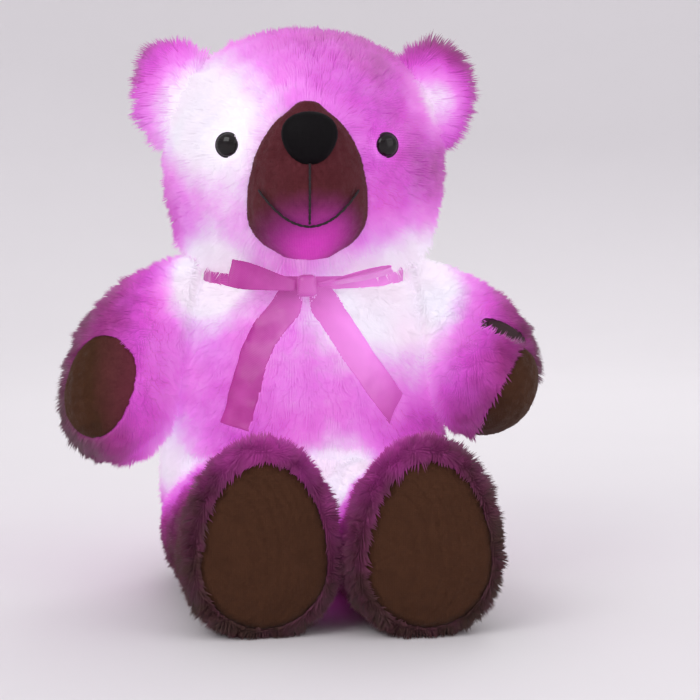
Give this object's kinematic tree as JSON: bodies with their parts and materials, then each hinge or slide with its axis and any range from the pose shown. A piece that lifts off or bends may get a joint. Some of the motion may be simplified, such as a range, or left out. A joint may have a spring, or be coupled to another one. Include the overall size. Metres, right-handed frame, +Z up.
{
  "type": "plush night light",
  "caption": "Sitting long-pile teddy bear with a bow, lit from inside by lamps, with turning head, swinging limbs, paw press button and battery pocket in the back.",
  "frame": {"origin": "middle of the flat seat, on the surface the bear sits on", "axes": "+Z up, the bear looks along -Y and its own left is +X"},
  "size_m": [0.3223, 0.2777, 0.3833],
  "materials": {
    "plush": "long white faux-fur pile, lit pink from inside",
    "velboa": "short smooth pile",
    "satin": "pink satin weave",
    "black_gloss": "polished black",
    "nose_cloth": "black short pile",
    "thread": "dark embroidery thread",
    "patch_cloth": "dark red cloth",
    "hook_cloth": "hook-and-loop tape",
    "case_plastic": "moulded white plastic",
    "cell_jacket": "plain printed steel jacket",
    "contact_metal": "nickel-plated spring steel",
    "lamp_lens": "moulded diffusing lens, lit pink",
    "wire_cover": "extruded wire cover",
    "board": "coated fibre board"
  },
  "bodies": {
    "torso": {"torso": "plush", "ribbon_band": "satin", "ribbon_knot": "satin", "bow_loop_left": "satin", "bow_loop_right": "satin", "bow_tail_left": "satin", "bow_tail_right": "satin", "loop_strip": "hook_cloth", "battery_case": "case_plastic", "cell_1": "cell_jacket", "cell_2": "cell_jacket", "cell_3": "cell_jacket", "contact_positive": "contact_metal", "contact_negative": "contact_metal", "contact_bridge_top": "contact_metal", "contact_bridge_bottom": "contact_metal", "lamp_shoulder_left": "lamp_lens", "lamp_shoulder_right": "lamp_lens", "lamp_chest": "lamp_lens", "lamp_hip": "lamp_lens", "wire_neck": "wire_cover", "wire_shoulder_left": "wire_cover", "wire_shoulder_right": "wire_cover", "wire_chest": "wire_cover", "wire_hip": "wire_cover", "wire_shoulder_feed": "wire_cover"},
    "head": {"head": "plush", "ear_left": "plush", "ear_right": "plush", "muzzle": "velboa", "nose": "nose_cloth", "eye_left": "black_gloss", "eye_right": "black_gloss", "eye_washer_left": "case_plastic", "eye_washer_right": "case_plastic", "mouth_stitch": "thread", "lip_stitch": "thread", "lamp_head_left": "lamp_lens", "lamp_head_right": "lamp_lens", "wire_head_left": "wire_cover", "wire_head_right": "wire_cover"},
    "arm_left": {"arm_left": "plush", "paw_pad_left": "velboa", "button_housing": "case_plastic", "controller_board": "board", "button_spring": "contact_metal", "wire_arm": "wire_cover"},
    "arm_right": {"arm_right": "plush", "paw_pad_right": "velboa"},
    "leg_left": {"leg_left": "plush", "sole_pad_left": "velboa"},
    "leg_right": {"leg_right": "plush", "sole_pad_right": "velboa"},
    "button": {"plunger": "case_plastic", "press_patch": "patch_cloth"},
    "flap": {"back_flap": "plush", "hook_strip": "hook_cloth"},
    "cover": {"battery_cover": "case_plastic"}
  },
  "joints": [
    {"name": "head_turn", "type": "hinge", "parent": "torso", "child": "head", "pos_m": [0, 0, 0.226], "axis": [0, 0, 1], "range_deg": [-20, 20], "stiffness_Nm_per_rad": 0.6},
    {"name": "arm_left_swing", "type": "hinge", "parent": "torso", "child": "arm_left", "pos_m": [0.082, 0, 0.19], "axis": [-0.9848, 0, -0.1736], "range_deg": [-15, 50], "stiffness_Nm_per_rad": 0.5},
    {"name": "arm_right_swing", "type": "hinge", "parent": "torso", "child": "arm_right", "pos_m": [-0.082, 0, 0.19], "axis": [-0.9848, 0, 0.1736], "range_deg": [-15, 50], "stiffness_Nm_per_rad": 0.5},
    {"name": "leg_left_swing", "type": "hinge", "parent": "torso", "child": "leg_left", "pos_m": [0.05, -0.042, 0.0455], "axis": [-1, 0, 0], "range_deg": [-15, 15], "stiffness_Nm_per_rad": 1},
    {"name": "leg_right_swing", "type": "hinge", "parent": "torso", "child": "leg_right", "pos_m": [-0.05, -0.042, 0.0455], "axis": [-1, 0, 0], "range_deg": [-15, 15], "stiffness_Nm_per_rad": 1},
    {"name": "button_press", "type": "slide", "parent": "arm_left", "child": "button", "axis": [-0.402, 0.4526, -0.796], "range_m": [0, 0.0015], "stiffness_N_per_m": 400, "deforming": ["button_spring"]},
    {"name": "flap_open", "type": "hinge", "parent": "torso", "child": "flap", "pos_m": [0, 0.0738, 0.1397], "axis": [1, 0, 0], "range_deg": [0, 90]},
    {"name": "cover_slide", "type": "slide", "parent": "torso", "child": "cover", "axis": [0, 0, 1], "range_m": [0, 0.0035]}
  ]
}
